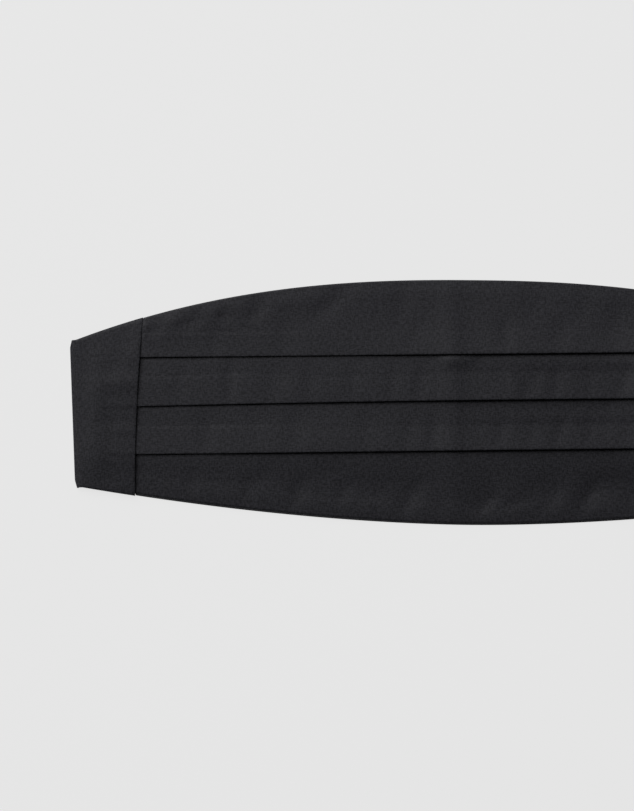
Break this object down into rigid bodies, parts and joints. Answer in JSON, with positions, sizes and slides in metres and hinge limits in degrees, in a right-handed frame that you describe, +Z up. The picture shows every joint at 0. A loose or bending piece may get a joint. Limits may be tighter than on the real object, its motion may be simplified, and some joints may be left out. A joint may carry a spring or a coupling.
{
  "type": "cummerbund",
  "caption": "Black satin cummerbund laid flat, face up: three pleats that open downwards as it lies, between plain end panels, with an elastic waist strap hooked closed behind it.",
  "frame": {"origin": "on the surface it lies on, under the middle of the garment", "axes": "+X along the pleats, towards the wearer's left end, +Y towards the top edge, away from the pleats' folded edges, +Z up out of the face"},
  "size_m": [0.4174, 0.1272, 0.0077],
  "materials": {
    "black_satin": "soft satin sheen along the weave, very dark neutral black",
    "black_elastic": "matte ribbed woven elastic",
    "black_metal": "semi-gloss black enamel"
  },
  "bodies": {
    "root": {"pleated_front": "black_satin", "end_panel_left": "black_satin", "end_panel_right": "black_satin", "waist_strap_left": "black_elastic", "waist_strap_right": "black_elastic", "strap_hook": "black_metal"}
  },
  "joints": []
}
